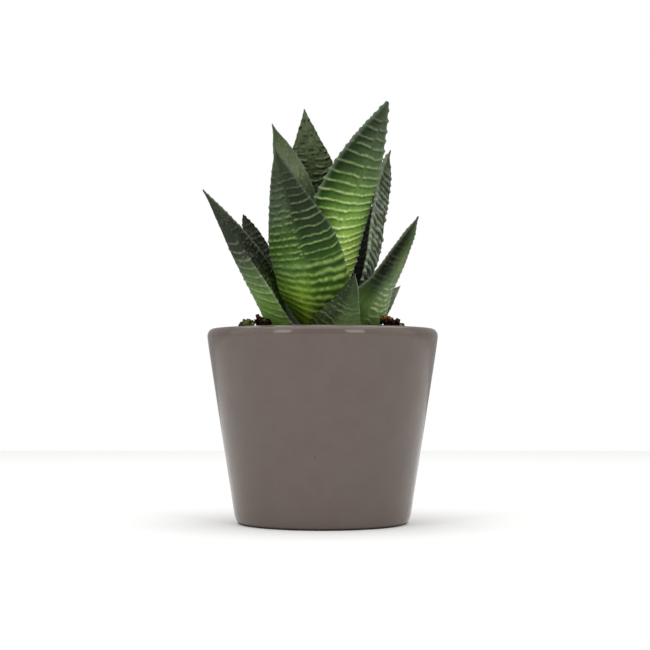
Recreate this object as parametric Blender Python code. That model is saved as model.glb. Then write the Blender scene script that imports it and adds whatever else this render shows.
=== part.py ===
"""Potted haworthia: a glazed pot filled with soil, a short stem and separate leaves. Metres, +Z up."""
import math

import bmesh
import bpy
from mathutils import Matrix, Vector, noise
from mathutils.bvhtree import BVHTree

for old in list(bpy.data.objects):
    bpy.data.objects.remove(old, do_unlink=True)

MM = 0.001
GAP = 0.3 * MM            # clearance between pieces that touch
FULL_TURN = 2 * math.pi

# Pot: a straight cone with a rounded lip and heel, a hollow inside and a flat foot
POT_HEIGHT = 58.8 * MM
POT_SHOULDER_RADIUS = 34.3 * MM   # top of the straight side
POT_SHOULDER_Z = 51.2 * MM
POT_HEEL_RADIUS = 27.25 * MM      # bottom of the straight side
POT_HEEL_Z = 6.0 * MM
POT_WALL = 4.5 * MM
POT_FLOOR = 5.0 * MM
POT_CORNER = 1.2 * MM             # bevel between the floor and the inner wall
POT_SEGMENTS = 72
# Radius and height in millimetres, from the foot up to the straight side, and from there over the lip
POT_FOOT_LINE = ((24.9, 0.0), (25.6, 0.25), (26.1, 1.0), (26.65, 2.5))
POT_LIP_LINE = ((34.95, 55.9), (35.0, 56.6), (34.8, 57.5), (34.35, 58.2), (33.7, 58.65),
                (32.9, 58.8), (31.9, 58.8), (31.2, 58.4))
POT_LIP_INSIDE_Z = 57.0 * MM      # where the lip's rounding meets the hollow

# Soil: fills the hollow, low at the stem and higher beside the wall
SOIL_RIM_Z = 57.6 * MM
SOIL_SHOULDER = 1.5 * MM          # height of the rounding between the soil's side and its surface
SOIL_DIP = 4.7 * MM
SOIL_DIP_START = 10.0 * MM
SOIL_DIP_END = 20.0 * MM
SOIL_ROUGHNESS = 0.45 * MM
SOIL_NOISE_SIZE = 6.0 * MM
SOIL_SEGMENTS = 48
SOIL_RINGS = 8

# Stem: short and thick, with a narrower top that the inner leaves grow from
STEM_BASE_Z = 48.0 * MM
STEM_RADIUS = 5.7 * MM
STEM_BEVEL = 0.7 * MM
STEM_SHOULDER_Z = 57.6 * MM
STEM_TOP_RADIUS = 3.6 * MM
STEM_TOP_START_Z = 59.6 * MM
STEM_TOP_Z = 66.0 * MM
STEM_TOP_ROUNDING = 1.4 * MM
STEM_SEGMENTS = 32

# Leaf section, from one margin over the outer face to the other, then back over the inner face
OUTER_STEPS = (-1.0, -0.82, -0.5, -0.2, 0.0, 0.2, 0.5, 0.82, 1.0)
INNER_STEPS = (0.6, 0.2, -0.2, -0.6)
RING_PLACES = (0.0, 0.1, 0.2, 0.3, 0.4, 0.5, 0.6, 0.7, 0.8, 0.88, 0.95, 1.0)
TIP_LENGTH = 0.8          # how far the point stands past the last ring, against its half width
KEEL_FOLD = 1.35          # 1 is a sharp fold along the keel, 2 a round back
KEEL_GROWTH = 0.25        # how much deeper the keel gets towards the tip, against the width

# One entry per leaf, in millimetres and degrees. The centre line is a curve from root to tip, drawn
# towards the lower and upper points. widths are taken at equal steps from root to tip. facing is
# where the outer face points, and twist how far that turns on the way up. keel and hollow are the
# depth of the outer and inner face against half the width.
LEAVES = {
    "leaf_low_left": dict(
        root=(-4.9, -2.4, 57.3), lower=(-15, -6.2, 68.4),
        upper=(-7.4, -15.3, 67.4), tip=(-34.8, -18.4, 98.7), widths=(9.6, 19, 18.4, 17.1, 13, 1.4),
        facing=184, twist=-40, keel=0.78, hollow=0.25),
    "leaf_dark_left": dict(
        root=(-3.5, 5.6, 58.8), lower=(-16.6, 12.3, 79.8),
        upper=(-24.2, 14.1, 91.6), tip=(-24.8, 11, 94.8), widths=(6.8, 9.7, 11.5, 10.4, 6.2, 1),
        facing=149, twist=2, keel=0.51, hollow=0.12),
    "leaf_front_left": dict(
        root=(-2.9, -4.9, 59.9), lower=(0.7, -12.7, 73.3),
        upper=(-8, -15, 83.4), tip=(-14.1, -12, 112.2), widths=(11.6, 21, 21.9, 20.4, 12, 1.1),
        facing=261, twist=1, keel=0.42, hollow=0.12),
    "leaf_back_left": dict(
        root=(-4.4, 1.2, 62.1), lower=(-2.2, 3.3, 82.7),
        upper=(-6.6, 3.6, 100.9), tip=(-15.5, 2, 121.8), widths=(7.7, 11.5, 14.3, 15.4, 11.3, 0.8),
        facing=131, twist=-2, keel=0.45, hollow=0.1),
    "leaf_back": dict(
        root=(-0.6, 3.9, 62), lower=(-2.3, 11.9, 93.1),
        upper=(-4.3, 13.1, 115.6), tip=(-5.7, 8, 127.4), widths=(6.2, 10.8, 13.7, 16.3, 7.6, 0.8),
        facing=94, twist=0, keel=0.45, hollow=0.12),
    "leaf_tall_right": dict(
        root=(2.1, -3.9, 63.4), lower=(-6.3, -6.6, 70.5),
        upper=(4.5, -6.2, 93.1), tip=(19.5, -4, 127.1), widths=(10, 15, 20.6, 19.3, 15, 2.2),
        facing=-66, twist=13, keel=0.51, hollow=0.12),
    "leaf_upright_right": dict(
        root=(4.0, 0.9, 60.4), lower=(12.1, 1.5, 75.6),
        upper=(14.5, 3.1, 98.7), tip=(20.8, 6, 113.9), widths=(6.8, 13.3, 17.5, 13.8, 10.3, 2.2),
        facing=9, twist=-40, keel=0.61, hollow=0.12),
    "leaf_low_right": dict(
        root=(5.8, -2.2, 56.8), lower=(9.1, -3.3, 58.7),
        upper=(18.8, -5.9, 71.7), tip=(28.6, -6, 92), widths=(7.5, 12.3, 18.6, 11.4, 7.7, 2.2),
        facing=-46, twist=-2, keel=0.5, hollow=0.12),
    "leaf_small_front": dict(
        root=(1.8, -5.65, 56.3), lower=(4, -14.5, 58.5),
        upper=(8, -17.8, 67.2), tip=(9.4, -16.5, 74.1), widths=(8.3, 16.1, 13.6, 9, 5, 1.4),
        facing=-77, twist=-1, keel=0.42, hollow=0.12),
    "leaf_offset_shoot": dict(
        root=(15.8, 5.6, 57.6), lower=(17.6, 5.4, 64.5),
        upper=(20.4, 4.4, 69.1), tip=(23.7, 3.6, 72), widths=(5.6, 7.1, 8, 7, 4.2, 0.9),
        facing=25, twist=0, keel=0.5, hollow=0.12),
    "leaf_rear_right": dict(
        root=(5.3, 3.8, 58.1), lower=(9.8, 11.5, 70.9),
        upper=(12.6, 17.4, 85), tip=(13.6, 21.5, 100.3), widths=(7.4, 12.4, 13.9, 12, 7.1, 1),
        facing=50, twist=0, keel=0.45, hollow=0.14),
    "leaf_rear": dict(
        root=(3.3, 6.2, 57.5), lower=(3.3, 16.2, 66.2),
        upper=(2, 23.7, 78.3), tip=(-0.1, 28.5, 94.1), widths=(7.4, 13.5, 15.4, 13.3, 7.9, 1),
        facing=92, twist=0, keel=0.45, hollow=0.14),
    "leaf_rear_left": dict(
        root=(-2.5, 5.5, 55.6), lower=(-7, 14.7, 62.9),
        upper=(-10.4, 21.4, 72.6), tip=(-12.8, 26, 84.5), widths=(7.4, 11.5, 12.7, 10.7, 6.3, 1),
        facing=122, twist=0, keel=0.45, hollow=0.14),
    "leaf_left_low_rear": dict(
        root=(-5.75, 3.85, 56.1), lower=(-11.2, 7.5, 57.2),
        upper=(-16.1, 7.6, 63.2), tip=(-20.9, 8, 74.2), widths=(4.6, 7.4, 9, 8, 4.7, 1),
        facing=164, twist=0, keel=0.45, hollow=0.14),
    "leaf_heart_front": dict(
        root=(0.5, -0.9, 66.6), lower=(0.8, -1.5, 75.5),
        upper=(1.8, -1.3, 84.6), tip=(3.5, -0.2, 93.9), widths=(4.9, 6, 6.6, 5.8, 3.4, 1),
        facing=-80, twist=0, keel=0.4, hollow=0.05),
    "leaf_heart_back": dict(
        root=(-0.7, 1.4, 66.5), lower=(-1.2, 2.9, 73.7),
        upper=(-1.5, 3.5, 80.4), tip=(-1.7, 3.4, 86.8), widths=(4.5, 5.5, 6, 5.2, 3.1, 1),
        facing=105, twist=0, keel=0.4, hollow=0.05),
    "leaf_rear_low": dict(
        root=(5.9, 2.6, 55.7), lower=(11.3, 9.7, 59.5),
        upper=(14.4, 16.5, 67.5), tip=(15.1, 23, 79.8), widths=(7, 10.1, 11.1, 9.4, 5.5, 1),
        facing=36, twist=0, keel=0.45, hollow=0.14),
}

# Bark crumbs lying on the soil: place in plan, full size along X, Y and Z, and turn about Z
CRUMBS = {
    "bark_left_1": dict(place=(-21.9, -13.4), size=(4.6, 4.0, 3.4), turn=20),
    "bark_left_2": dict(place=(-17.0, -16.0), size=(4.6, 3.8, 3.6), turn=70),
    "bark_left_3": dict(place=(-23.6, -7.4), size=(4.4, 3.6, 3.0), turn=130),
    "bark_left_4": dict(place=(-18.4, -11.0), size=(4.2, 3.4, 4.6), turn=10),
    "bark_right_1": dict(place=(18.9, -14.2), size=(4.8, 4.2, 5.0), turn=150),
    "bark_right_2": dict(place=(21.3, -10.0), size=(3.8, 3.6, 3.8), turn=40),
    "bark_right_3": dict(place=(23.6, -5.2), size=(3.2, 3.0, 2.2), turn=95),
    "bark_rear_1": dict(place=(-14.0, 23.6), size=(4.8, 4.0, 3.0), turn=60),
    "bark_rear_2": dict(place=(8.6, 26.0), size=(4.4, 3.6, 2.8), turn=15),
    "bark_rear_3": dict(place=(24.0, 11.5), size=(4.8, 3.8, 3.2), turn=115),
}
CRUMB_ROUGHNESS = 0.22    # how far a crumb's surface moves, against its own size
CRUMB_NOISE = 3.0         # dents across a crumb
CRUMB_SEED_STEP = 7.3     # keeps one crumb's dents away from the next one's
CRUMB_DROP_HEIGHT = 0.1   # crumbs are let down from here on to the soil

# Colour in linear RGB and roughness of each finish
GLAZE = ((0.155, 0.125, 0.112), 0.28)
COMPOST = ((0.035, 0.022, 0.014), 0.95)
STEM_SKIN = ((0.17, 0.19, 0.06), 0.7)
LEAF_SKIN = ((0.075, 0.115, 0.055), 0.5)
BARK = ((0.09, 0.05, 0.028), 0.9)
FLAT_SMOOTHING = 40.0     # edges sharper than this many degrees stay sharp
LEAF_SMOOTHING = 60.0


def make_material(name, finish):
    color, roughness = finish
    material = bpy.data.materials.new(name)
    material.use_nodes = True
    shader = material.node_tree.nodes["Principled BSDF"]
    shader.inputs["Base Color"].default_value = (*color, 1.0)
    shader.inputs["Roughness"].default_value = roughness
    return material


def make_object(name, points, faces, material, smooth_angle=FLAT_SMOOTHING):
    mesh = bpy.data.meshes.new(name)
    mesh.from_pydata(points, [], faces)
    mesh.update()
    mesh.materials.append(material)
    mesh.shade_smooth()
    mesh.set_sharp_from_angle(angle=math.radians(smooth_angle))
    piece = bpy.data.objects.new(name, mesh)
    bpy.context.scene.collection.objects.link(piece)
    return piece


def loft_faces(ring_count, ring_size):
    """Quads between neighbouring rings, which all run the same way round."""
    faces = []
    for ring in range(ring_count - 1):
        low = ring * ring_size
        high = low + ring_size
        for step in range(ring_size):
            after = (step + 1) % ring_size
            faces.append((low + step, low + after, high + after, high + step))
    return faces


def fan_faces(first, ring_size, centre, outward):
    """Triangles that close a ring on to one centre point."""
    faces = []
    for step in range(ring_size):
        after = (step + 1) % ring_size
        if outward:
            faces.append((first + step, first + after, centre))
        else:
            faces.append((first + after, first + step, centre))
    return faces


def ring_points(radius, height, segments):
    points = []
    for step in range(segments):
        angle = FULL_TURN * step / segments
        points.append((radius * math.cos(angle), radius * math.sin(angle), height))
    return points


def turn_profile(name, profile, segments, material):
    """A closed solid of revolution. The profile starts and ends on the axis."""
    rings = []
    for radius, height in profile[1:-1]:
        rings += ring_points(radius, height, segments)
    ring_count = len(profile) - 2
    start = len(rings)
    points = rings + [(0, 0, profile[0][1]), (0, 0, profile[-1][1])]
    faces = loft_faces(ring_count, segments)
    faces += fan_faces(0, segments, start, False)
    faces += fan_faces((ring_count - 1) * segments, segments, start + 1, True)
    return make_object(name, points, faces, material)


def wall_radius(height):
    """Outer radius of the pot's straight side at a height."""
    along = (height - POT_HEEL_Z) / (POT_SHOULDER_Z - POT_HEEL_Z)
    return POT_HEEL_RADIUS + along * (POT_SHOULDER_RADIUS - POT_HEEL_RADIUS)


def hollow_radius(height):
    return wall_radius(height) - POT_WALL


def build_pot():
    profile = [(0, 0)]
    profile += [(radius * MM, height * MM) for radius, height in POT_FOOT_LINE]
    profile += [(POT_HEEL_RADIUS, POT_HEEL_Z), (POT_SHOULDER_RADIUS, POT_SHOULDER_Z)]
    profile += [(radius * MM, height * MM) for radius, height in POT_LIP_LINE]
    profile += [
        (hollow_radius(POT_LIP_INSIDE_Z), POT_LIP_INSIDE_Z),
        (hollow_radius(POT_FLOOR + POT_CORNER), POT_FLOOR + POT_CORNER),
        (hollow_radius(POT_FLOOR) - POT_CORNER, POT_FLOOR),
        (0, POT_FLOOR),
    ]
    return turn_profile("pot", profile, POT_SEGMENTS, make_material("taupe_glaze", GLAZE))


def soil_height(x, y):
    """Soil surface: a dip round the stem, with a lumpy finish."""
    radius = math.hypot(x, y)
    rise = (radius - SOIL_DIP_START) / (SOIL_DIP_END - SOIL_DIP_START)
    rise = min(1.0, max(0.0, rise))
    rise = rise * rise * (3 - 2 * rise)
    lumps = noise.noise(Vector((x, y, 0)) / SOIL_NOISE_SIZE)
    return SOIL_RIM_Z - SOIL_DIP * (1 - rise) + SOIL_ROUGHNESS * lumps


def build_soil():
    """Plug that fills the hollow, with a socket in the middle for the stem."""
    floor = POT_FLOOR + GAP
    side_top = SOIL_RIM_Z - SOIL_SHOULDER
    clearance = 2 * GAP
    socket = STEM_RADIUS + GAP
    socket_floor = STEM_BASE_Z - GAP
    points = ring_points(hollow_radius(floor) - POT_CORNER - clearance, floor, SOIL_SEGMENTS)
    for height in (floor + POT_CORNER, side_top):
        points += ring_points(hollow_radius(height) - clearance, height, SOIL_SEGMENTS)
    edge = hollow_radius(side_top) - clearance - GAP
    for ring in range(SOIL_RINGS):
        radius = edge + (socket - edge) * ring / (SOIL_RINGS - 1)
        for x, y, _ in ring_points(radius, 0, SOIL_SEGMENTS):
            points.append((x, y, soil_height(x, y)))
    points += ring_points(socket, socket_floor, SOIL_SEGMENTS)
    centre = len(points)
    ring_count = centre // SOIL_SEGMENTS
    points += [(0, 0, floor), (0, 0, socket_floor)]
    faces = loft_faces(ring_count, SOIL_SEGMENTS)
    faces += fan_faces(0, SOIL_SEGMENTS, centre, False)
    faces += fan_faces((ring_count - 1) * SOIL_SEGMENTS, SOIL_SEGMENTS, centre + 1, True)
    return make_object("soil", points, faces, make_material("potting_mix", COMPOST))


def build_stem():
    profile = [
        (0, STEM_BASE_Z),
        (STEM_RADIUS - STEM_BEVEL, STEM_BASE_Z),
        (STEM_RADIUS, STEM_BASE_Z + STEM_BEVEL),
        (STEM_RADIUS, STEM_SHOULDER_Z),
        (STEM_TOP_RADIUS, STEM_TOP_START_Z),
        (STEM_TOP_RADIUS, STEM_TOP_Z - STEM_TOP_ROUNDING),
        (STEM_TOP_RADIUS - STEM_TOP_ROUNDING, STEM_TOP_Z),
        (0, STEM_TOP_Z),
    ]
    return turn_profile("stem", profile, STEM_SEGMENTS, make_material("stem_green", STEM_SKIN))


def leaf_point(leaf, along):
    """Point on the centre line and the direction in which the line runs on."""
    root, lower, upper, tip = (Vector(leaf[key]) for key in ("root", "lower", "upper", "tip"))
    left = 1 - along
    point = left ** 3 * root + 3 * left * left * along * lower
    point += 3 * left * along * along * upper + along ** 3 * tip
    run = left * left * (lower - root) + 2 * left * along * (upper - lower)
    run += along * along * (tip - upper)
    return point, run.normalized()


def leaf_half_width(leaf, along):
    """Smooth curve through the leaf's widths."""
    widths = leaf["widths"]
    spans = len(widths) - 1
    span = min(int(along * spans), spans - 1)
    part = along * spans - span
    here = widths[span]
    after = widths[span + 1]
    before = widths[span - 1] if span > 0 else 2 * here - after
    beyond = widths[span + 2] if span + 2 <= spans else 2 * after - here
    width = 2 * here + (after - before) * part
    width += (2 * before - 5 * here + 4 * after - beyond) * part ** 2
    width += (3 * here - before - 3 * after + beyond) * part ** 3
    return width / 4


def leaf_ring(leaf, along):
    point, run = leaf_point(leaf, along)
    angle = math.radians(leaf["facing"] + leaf["twist"] * (along - 0.5))
    outward = Vector((math.cos(angle), math.sin(angle), 0))
    outward = (outward - run * outward.dot(run)).normalized()
    across = run.cross(outward)
    half = leaf_half_width(leaf, along)
    keel = leaf["keel"] * half * (1 + KEEL_GROWTH * along)
    hollow = leaf["hollow"] * half
    ring = []
    for step in OUTER_STEPS:
        ring.append(point + across * step * half + outward * keel * (1 - abs(step) ** KEEL_FOLD))
    for step in INNER_STEPS:
        ring.append(point + across * step * half + outward * hollow * (1 - step ** 2))
    return ring


def build_leaf(name, leaf, material):
    rings = [leaf_ring(leaf, along) for along in RING_PLACES]
    ring_size = len(rings[0])
    points = [point for ring in rings for point in ring]
    end = len(points)
    tip, run = leaf_point(leaf, 1.0)
    points.append(tip + run * leaf_half_width(leaf, 1.0) * TIP_LENGTH)
    points.append(sum(rings[0], Vector()) / ring_size)
    faces = loft_faces(len(rings), ring_size)
    faces += fan_faces((len(rings) - 1) * ring_size, ring_size, end, True)
    faces += fan_faces(0, ring_size, end + 1, False)
    points = [point * MM for point in points]
    return make_object(name, points, faces, material, LEAF_SMOOTHING)


def crumb_shape(crumb, seed):
    """Points and faces of a rough lump, turned about Z and centred on its place."""
    blank = bpy.data.meshes.new("crumb_blank")
    work = bmesh.new()
    bmesh.ops.create_icosphere(work, subdivisions=2, radius=0.5)
    work.to_mesh(blank)
    work.free()
    turn = Matrix.Rotation(math.radians(crumb["turn"]), 4, "Z")
    size = Vector(crumb["size"]) * MM
    points = []
    for vertex in blank.vertices:
        push = 1 + CRUMB_ROUGHNESS * noise.noise(vertex.co * CRUMB_NOISE + Vector((seed, 0, 0)))
        points.append(turn @ (vertex.co * push * size))
    faces = [tuple(face.vertices) for face in blank.polygons]
    bpy.data.meshes.remove(blank)
    return points, faces


def drop_distance(points, faces, ground):
    """How far a shape can go down before it meets the ground below it."""
    down = Vector((0, 0, -1))
    ground_points, ground_tree = ground
    drop = CRUMB_DROP_HEIGHT
    for point in points:
        hit = ground_tree.ray_cast(point, down)
        if hit[3] is not None:
            drop = min(drop, hit[3])
    shape_tree = BVHTree.FromPolygons(points, faces)
    for point in ground_points:
        hit = shape_tree.ray_cast(point, -down)
        if hit[3] is not None:
            drop = min(drop, hit[3])
    return drop


def build_crumb(name, crumb, seed, ground, material):
    points, faces = crumb_shape(crumb, seed)
    x, y = crumb["place"]
    start = Vector((x * MM, y * MM, CRUMB_DROP_HEIGHT))
    points = [point + start for point in points]
    drop = drop_distance(points, faces, ground) - GAP
    points = [point - Vector((0, 0, drop)) for point in points]
    return make_object(name, points, faces, material)


def surface_of(piece):
    points = [vertex.co.copy() for vertex in piece.data.vertices]
    faces = [tuple(face.vertices) for face in piece.data.polygons]
    return points, BVHTree.FromPolygons(points, faces)


build_pot()
soil_piece = build_soil()
build_stem()
for leaf_name, leaf_shape in LEAVES.items():
    build_leaf(leaf_name, leaf_shape, make_material(leaf_name + "_green", LEAF_SKIN))
soil_surface = surface_of(soil_piece)
for number, (crumb_name, crumb_plan) in enumerate(CRUMBS.items()):
    brown = make_material(crumb_name + "_brown", BARK)
    build_crumb(crumb_name, crumb_plan, number * CRUMB_SEED_STEP, soil_surface, brown)
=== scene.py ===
import math

import bmesh
import bpy
import numpy as np
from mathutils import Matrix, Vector


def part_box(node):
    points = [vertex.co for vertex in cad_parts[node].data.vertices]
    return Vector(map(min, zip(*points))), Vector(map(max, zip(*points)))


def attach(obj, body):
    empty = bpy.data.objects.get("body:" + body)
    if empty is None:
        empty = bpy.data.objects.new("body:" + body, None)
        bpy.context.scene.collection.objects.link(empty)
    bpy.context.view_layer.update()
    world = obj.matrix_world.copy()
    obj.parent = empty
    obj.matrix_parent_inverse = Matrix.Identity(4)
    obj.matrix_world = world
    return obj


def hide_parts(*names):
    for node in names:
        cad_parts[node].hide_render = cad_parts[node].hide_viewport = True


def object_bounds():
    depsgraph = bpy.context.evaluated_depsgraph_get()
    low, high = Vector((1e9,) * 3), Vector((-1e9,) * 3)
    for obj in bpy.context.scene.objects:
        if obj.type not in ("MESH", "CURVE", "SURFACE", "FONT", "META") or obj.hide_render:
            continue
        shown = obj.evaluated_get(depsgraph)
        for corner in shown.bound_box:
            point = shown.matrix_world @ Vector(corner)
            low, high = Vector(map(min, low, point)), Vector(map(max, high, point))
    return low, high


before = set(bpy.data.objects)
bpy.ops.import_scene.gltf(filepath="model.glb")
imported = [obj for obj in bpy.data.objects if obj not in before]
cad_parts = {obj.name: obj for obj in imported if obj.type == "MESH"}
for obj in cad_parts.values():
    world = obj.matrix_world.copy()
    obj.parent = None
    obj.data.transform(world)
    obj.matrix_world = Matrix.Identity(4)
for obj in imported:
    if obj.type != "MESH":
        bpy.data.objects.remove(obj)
cadLow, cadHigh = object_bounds()
print("frame loaded,", len(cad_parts), "nodes")

mm = 0.001
fullTurn = 2 * math.pi


# Small helpers for colour, nodes and meshes

def linearColour(hexCode):
    channels = [int(hexCode[start:start + 2], 16) / 255 for start in (0, 2, 4)]
    linear = [c / 12.92 if c <= 0.04045 else ((c + 0.055) / 1.055) ** 2.4 for c in channels]
    return (*linear, 1.0)


# a socket by number, or the first one in use with that name, as a Mix node has one for every data type
def pickSocket(sockets, name):
    if isinstance(name, int):
        return sockets[name]
    return next((socket for socket in sockets if socket.enabled and name in (None, socket.name)), None)


def addNode(tree, kind, settings=None, links=None, output=None):
    node = tree.nodes.new("ShaderNode" + kind)
    for name, value in (settings or {}).items():
        if name == "stops":
            ramp = node.color_ramp
            while len(ramp.elements) < len(value):
                ramp.elements.new(0.5)
            for element, (place, hexCode) in zip(ramp.elements, value):
                element.position = place
                element.color = linearColour(hexCode)
        elif not isinstance(name, int) and name in node.bl_rna.properties:
            setattr(node, name, value)
        else:
            if isinstance(value, str):
                value = linearColour(value)
            pickSocket(node.inputs, name).default_value = value
    for name, source in (links or {}).items():
        tree.links.new(source, pickSocket(node.inputs, name))
    return pickSocket(node.outputs, output)


def newMaterial(name):
    material = bpy.data.materials.new(name)
    material.use_nodes = True
    tree = material.node_tree
    tree.nodes.clear()
    return material, tree


def finishMaterial(tree, settings, links):
    shader = addNode(tree, "BsdfPrincipled", settings, links)
    addNode(tree, "OutputMaterial", None, {"Surface": shader})


# the place on an object in mm, so that a pattern's scale is a count for each mm
def placeInMm(tree):
    place = addNode(tree, "TexCoord", output="Object")
    return addNode(tree, "VectorMath", {"operation": "SCALE", "Scale": 1 / mm}, {0: place})


def newPiece(name, points, faces, material, fields=None):
    mesh = bpy.data.meshes.new(name)
    mesh.from_pydata(points, [], faces)
    mesh.materials.append(material)
    mesh.shade_smooth()
    for field, values in (fields or {}).items():
        attribute = mesh.attributes.new(field, "FLOAT", "POINT")
        attribute.data.foreach_set("value", np.ascontiguousarray(values, np.float32).ravel())
    piece = bpy.data.objects.new(name, mesh)
    bpy.context.scene.collection.objects.link(piece)
    return piece


def takePlace(piece, node):
    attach(piece, "root")
    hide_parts(node)


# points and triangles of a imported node, with the points that lie together made one
def weldedNode(node):
    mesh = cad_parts[node].data
    places = np.empty(len(mesh.vertices) * 3, np.float32)
    mesh.vertices.foreach_get("co", places)
    places = places.reshape(-1, 3)
    _, firsts, welded = np.unique(places, axis=0, return_index=True, return_inverse=True)
    faces = [tuple(int(welded[v]) for v in face.vertices) for face in mesh.polygons]
    return places[firsts].astype(float), faces


# smooth random field over x and y, with lumps about one size across and values from -1 to 1
def cloud(x, y, size, seed):
    table = np.random.default_rng(seed).random((61, 61)) * 2 - 1
    cellX, cellY = np.floor(x / size).astype(int), np.floor(y / size).astype(int)
    partX, partY = x / size - cellX, y / size - cellY
    partX, partY = partX ** 2 * (3 - 2 * partX), partY ** 2 * (3 - 2 * partY)

    def at(stepX, stepY):
        return table[(cellX + stepX) % 61, (cellY + stepY) % 61]

    low = at(0, 0) * (1 - partX) + at(1, 0) * partX
    high = at(0, 1) * (1 - partX) + at(1, 1) * partX
    return low * (1 - partY) + high * partY


# value that a list running from root to tip has at a share of the length
def rootToTip(share, values):
    return np.interp(share, np.linspace(0, 1, len(values)), values)


# four-sided faces of a tube made of rows of points, each row closed on itself
def tubeFaces(rows, count):
    low = (np.arange(rows - 1)[:, None] * count + np.arange(count)).ravel()
    after = (np.arange(rows - 1)[:, None] * count + (np.arange(count) + 1) % count).ravel()
    return np.stack([low, after, after + count, low + count], axis=1)


def softStep(low, high, value):
    part = np.clip((value - low) / (high - low), 0, 1)
    return part * part * (3 - 2 * part)


# smooth curve through values known at a few places
def curveThrough(places, values, wanted):
    slopes = np.gradient(values, places, axis=0)
    span = np.clip(np.searchsorted(places, wanted, side="right") - 1, 0, len(places) - 2)
    gap = (places[span + 1] - places[span])[:, None]
    part = (wanted - places[span])[:, None] / gap
    start, end = values[span], values[span + 1]
    into, outOf = slopes[span] * gap, slopes[span + 1] * gap
    bend = part * part * (3 - 2 * part)
    return (start + bend * (end - start) + part * (1 - part) ** 2 * into
            - part ** 2 * (1 - part) * outOf)


# Leaves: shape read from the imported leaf, then ridges, teeth and grain raised on it

# Rings of a packed leaf, from root to tip. Each starts at one margin, goes over the outer face to
# the other margin in outerSteps steps, and comes back over the inner face.
outerSteps = 8
ringSize = 13
shoulders = (2, 6)                 # outer points half way from the keel to the margins
floorPair = (10, 11)               # inner points 0.2 of the half width from the middle
floorShare = 0.96                  # share of the hollow's depth that they reach


def leafRings(node):
    points, faces = weldedNode(node)
    touching = [set() for _ in points]
    for face in faces:
        for corner in face:
            touching[corner].update(face)
    fans = [corner for corner in range(len(points)) if len(touching[corner]) > ringSize]
    tip = max(fans, key=lambda corner: points[corner, 2])
    layers, seen = [{tip}], {tip}
    while len(seen) < len(points):
        layer = set().union(*(touching[corner] for corner in layers[-1])) - seen
        layers.append(layer)
        seen |= layer
    rings = []
    for nearer, layer in zip(layers, layers[1:]):
        following = {}
        for face in faces:
            for turn in range(3):
                one, two, third = face[turn], face[(turn + 1) % 3], face[(turn + 2) % 3]
                if one in layer and two in layer and third in nearer:
                    following[one] = two
        order = [min(layer)]
        while len(order) < len(layer):
            order.append(following[order[-1]])
        ring = points[order]
        spans = np.linalg.norm(np.roll(ring, -outerSteps, axis=0) - ring, axis=1)
        rings.append(np.roll(ring, -int(spans.argmax()), axis=0))
    return np.array(rings[::-1]), points[tip]


# Centre line, half width, keel and hollow of a leaf at close stations from root to tip
def leafStations(node, grain):
    rings, tip = leafRings(node)
    middle = (rings[:, 0] + rings[:, outerSteps]) / 2
    across = (rings[:, outerSteps] - rings[:, 0]) / 2
    keel = rings[:, outerSteps // 2] - middle
    hollow = ((rings[:, floorPair[0]] + rings[:, floorPair[1]]) / 2 - middle) / floorShare
    shoulder = (rings[:, shoulders[0]] + rings[:, shoulders[1]]) / 2 - middle
    fold = np.log(1 - np.linalg.norm(shoulder, axis=1) / np.linalg.norm(keel, axis=1)) / math.log(0.5)
    run = np.concatenate([[0], np.cumsum(np.linalg.norm(np.diff(middle, axis=0), axis=1))])
    wanted = np.linspace(0, run[-1], int(run[-1] / grain) + 1)
    columns = np.concatenate([middle, across, keel, hollow, fold[:, None]], axis=1)
    columns = curveThrough(run, columns, wanted)
    return wanted, columns, tip


# What a set of ridges may say besides its spacing, height, width, rise and paint. Lengths are in
# mm, start, end and fade are shares of the leaf's length, and sides runs from -1 to 1 over the face.
ridgeDefaults = dict(
    start=0.0, end=1.0, fade=0.06,
    sides=(-1, 1), sideFade=0.12,
    bow=1.6, curl=0,                   # how late a line climbs to the margin, and its hook there
    wave=0.2, waveLength=9, octaves=(1.0, 2.3, 4.1),
    stray=0.12, uneven=0.2,            # chance in the spacing and in the strength
    jogShare=0, jog=0, jogWidth=0.05,  # share of the lines with a step at the keel, and the step
    lean=1.0,                          # above 1 the slope to the tip is the gentler one
    beads=0.2, bead=0.8,               # strength and size of the beads along a line
    breaks=0, breakWidth=(0.25, 0.8),  # mean number of gaps in a line
    keelBreak=0, keelBreakWidth=(0.3, 0.8),  # share of the lines that are open at the keel
    knob=0, knobPlace=-0.7, knobWidth=0.45,  # a stronger spot on each line, left of the keel
    widthChange=0.25, widthPatch=1.7,  # how much a line's width varies, and over what distance
    leftPaint=1, sharp=1.5,            # share of the paint at the left margin, and how crisp it is
    # The last three set the painted shade: a dark band painted into the colour just below each line.
    under=0.5, paintedShadeDrop=1.9, paintedShadeWidth=1.5)  # shade below a line, placed in widths of the line
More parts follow.
